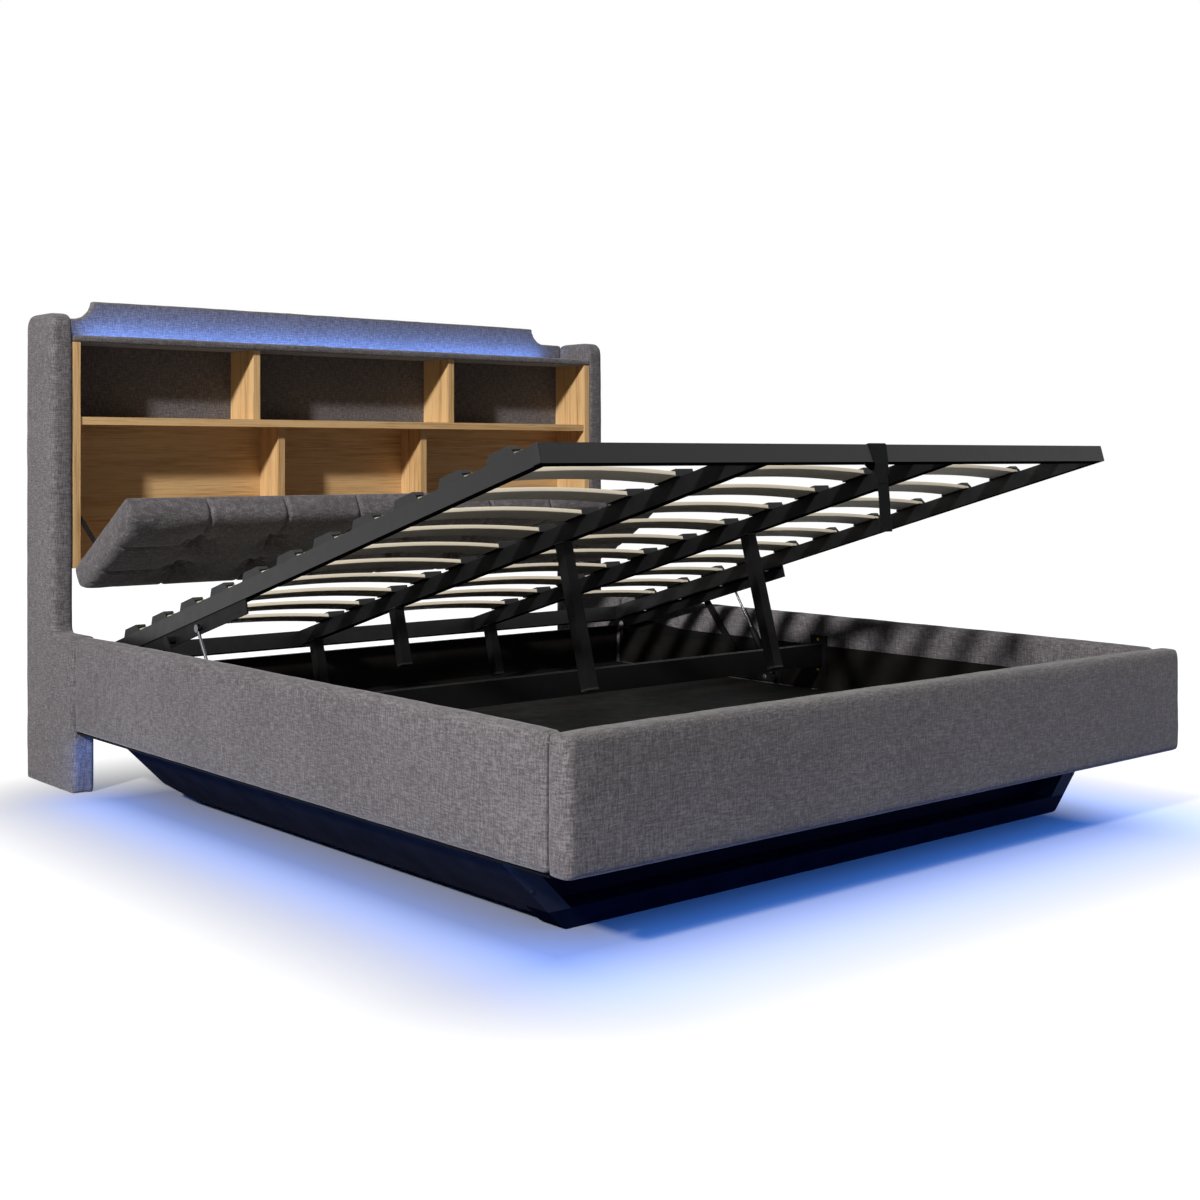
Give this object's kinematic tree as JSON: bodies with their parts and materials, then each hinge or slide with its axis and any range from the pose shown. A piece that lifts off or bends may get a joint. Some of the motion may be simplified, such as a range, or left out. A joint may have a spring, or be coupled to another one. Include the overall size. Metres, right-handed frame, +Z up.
{
  "type": "upholstered storage bed",
  "caption": "Upholstered storage bed with a bookcase headboard, a tufted fold-down backrest and a slatted platform that lifts on gas struts over a storage box.",
  "frame": {"origin": "on the floor under the middle of the bed's bounding box", "axes": "+X to the right of someone who stands at the foot and faces the headboard, +Y from the foot to the headboard, +Z up"},
  "size_m": [2.03, 2.45, 1.376],
  "materials": {
    "grey_fabric": "matte",
    "oak": "satin",
    "led": "gloss",
    "black_board": "satin",
    "base_paint": "satin",
    "black_steel": "satin",
    "slat_wood": "satin",
    "black_plastic": "matte",
    "chrome_rod": "polished",
    "brass_screw": "satin",
    "black_webbing": "matte"
  },
  "bodies": {
    "bed_frame": {"left_wing": "grey_fabric", "right_wing": "grey_fabric", "backboard": "grey_fabric", "top_ledge": "grey_fabric", "bookcase_left_side": "oak", "bookcase_right_side": "oak", "middle_shelf": "oak", "bookcase_bottom": "oak", "upper_dividers": "oak", "lower_dividers": "oak", "lower_back_panel": "oak", "headboard_led_strip": "led", "left_rail": "grey_fabric", "right_rail": "grey_fabric", "footboard": "grey_fabric", "box_linings": "black_board", "head_board": "black_board", "storage_floor_head": "black_board", "storage_floor_foot": "black_board", "floor_cleats": "black_board", "crossbeam": "black_steel", "crossbeam_brackets": "black_steel", "crossbeam_screws": "brass_screw", "foot_sled_bar": "base_paint", "foot_sled_legs": "base_paint", "kick_panel": "base_paint", "left_skirt": "base_paint", "right_skirt": "base_paint", "base_led_strips": "led", "left_lower_bracket": "black_steel", "right_lower_bracket": "black_steel", "pivot_pins": "black_steel", "corner_stops": "black_plastic", "flap_pivots": "black_steel"},
    "platform": {"platform_left_rail": "black_steel", "platform_right_rail": "black_steel", "platform_foot_rail": "black_steel", "platform_head_rail": "black_steel", "platform_mid_rail_left": "black_steel", "platform_mid_rail_right": "black_steel", "support_legs": "black_steel", "slats_left": "slat_wood", "slats_middle": "slat_wood", "slats_right": "slat_wood", "slat_caps": "black_plastic", "left_upper_bracket": "black_steel", "right_upper_bracket": "black_steel", "pull_strap": "black_webbing"},
    "flap": {"flap_board": "black_board", "flap_cushion": "grey_fabric", "flap_fittings": "black_steel"},
    "left_stay_link": {"left_stay_link": "black_steel"},
    "left_strut_cylinder": {"left_strut_cylinder": "black_steel"},
    "left_strut_rod": {"left_strut_rod": "chrome_rod"},
    "left_flap_stay": {"left_flap_stay": "black_steel"},
    "right_stay_link": {"right_stay_link": "black_steel"},
    "right_strut_cylinder": {"right_strut_cylinder": "black_steel"},
    "right_strut_rod": {"right_strut_rod": "chrome_rod"},
    "right_flap_stay": {"right_flap_stay": "black_steel"}
  },
  "joints": [
    {"name": "platform_lift", "type": "hinge", "parent": "bed_frame", "child": "platform", "pos_m": [0, 0.835, 0.341], "axis": [1, 0, 0], "range_deg": [0, 16.1], "stiffness_Nm_per_rad": 400, "springref_deg": -85.94},
    {"name": "flap_fold", "type": "hinge", "parent": "bed_frame", "child": "flap", "pos_m": [0, 1.031, 0.6], "axis": [1, 0, 0], "range_deg": [-58, 0]},
    {"name": "left_strut_swing", "type": "hinge", "parent": "bed_frame", "child": "left_strut_cylinder", "pos_m": [-0.947, 0.133, 0.224], "axis": [1, 0, 0], "range_deg": [-19.66, 0]},
    {"name": "left_strut_slide", "type": "slide", "parent": "left_strut_cylinder", "child": "left_strut_rod", "axis": [0, 0.5364, 0.844], "range_m": [-0.12997, 0]},
    {"name": "left_link_swing", "type": "hinge", "parent": "platform", "child": "left_stay_link", "pos_m": [-0.96, 0.45069, 0.45193], "axis": [1, 0, 0], "range_deg": [-54.2, 0]},
    {"name": "left_flap_stay_swing", "type": "hinge", "parent": "flap", "child": "left_flap_stay", "pos_m": [-0.928, 0.93835, 0.6744], "axis": [1, 0, 0], "range_deg": [0, 37.06]},
    {"name": "right_strut_swing", "type": "hinge", "parent": "bed_frame", "child": "right_strut_cylinder", "pos_m": [0.947, 0.133, 0.224], "axis": [1, 0, 0], "range_deg": [-19.66, 0]},
    {"name": "right_strut_slide", "type": "slide", "parent": "right_strut_cylinder", "child": "right_strut_rod", "axis": [0, 0.5364, 0.844], "range_m": [-0.12997, 0]},
    {"name": "right_link_swing", "type": "hinge", "parent": "platform", "child": "right_stay_link", "pos_m": [0.96, 0.45069, 0.45193], "axis": [1, 0, 0], "range_deg": [-54.2, 0]},
    {"name": "right_flap_stay_swing", "type": "hinge", "parent": "flap", "child": "right_flap_stay", "pos_m": [0.928, 0.93835, 0.6744], "axis": [1, 0, 0], "range_deg": [0, 37.06]}
  ],
  "couplings": [
    {"joint": "left_strut_swing", "follows": "platform_lift", "ratio": -1.2179},
    {"joint": "left_strut_slide", "follows": "platform_lift", "m_per_rad": -0.46183},
    {"joint": "left_link_swing", "follows": "platform_lift", "ratio": -3.3632},
    {"joint": "left_flap_stay_swing", "follows": "flap_fold", "ratio": -0.63816},
    {"joint": "right_strut_swing", "follows": "platform_lift", "ratio": -1.2179},
    {"joint": "right_strut_slide", "follows": "platform_lift", "m_per_rad": -0.46183},
    {"joint": "right_link_swing", "follows": "platform_lift", "ratio": -3.3632},
    {"joint": "right_flap_stay_swing", "follows": "flap_fold", "ratio": -0.63816}
  ]
}
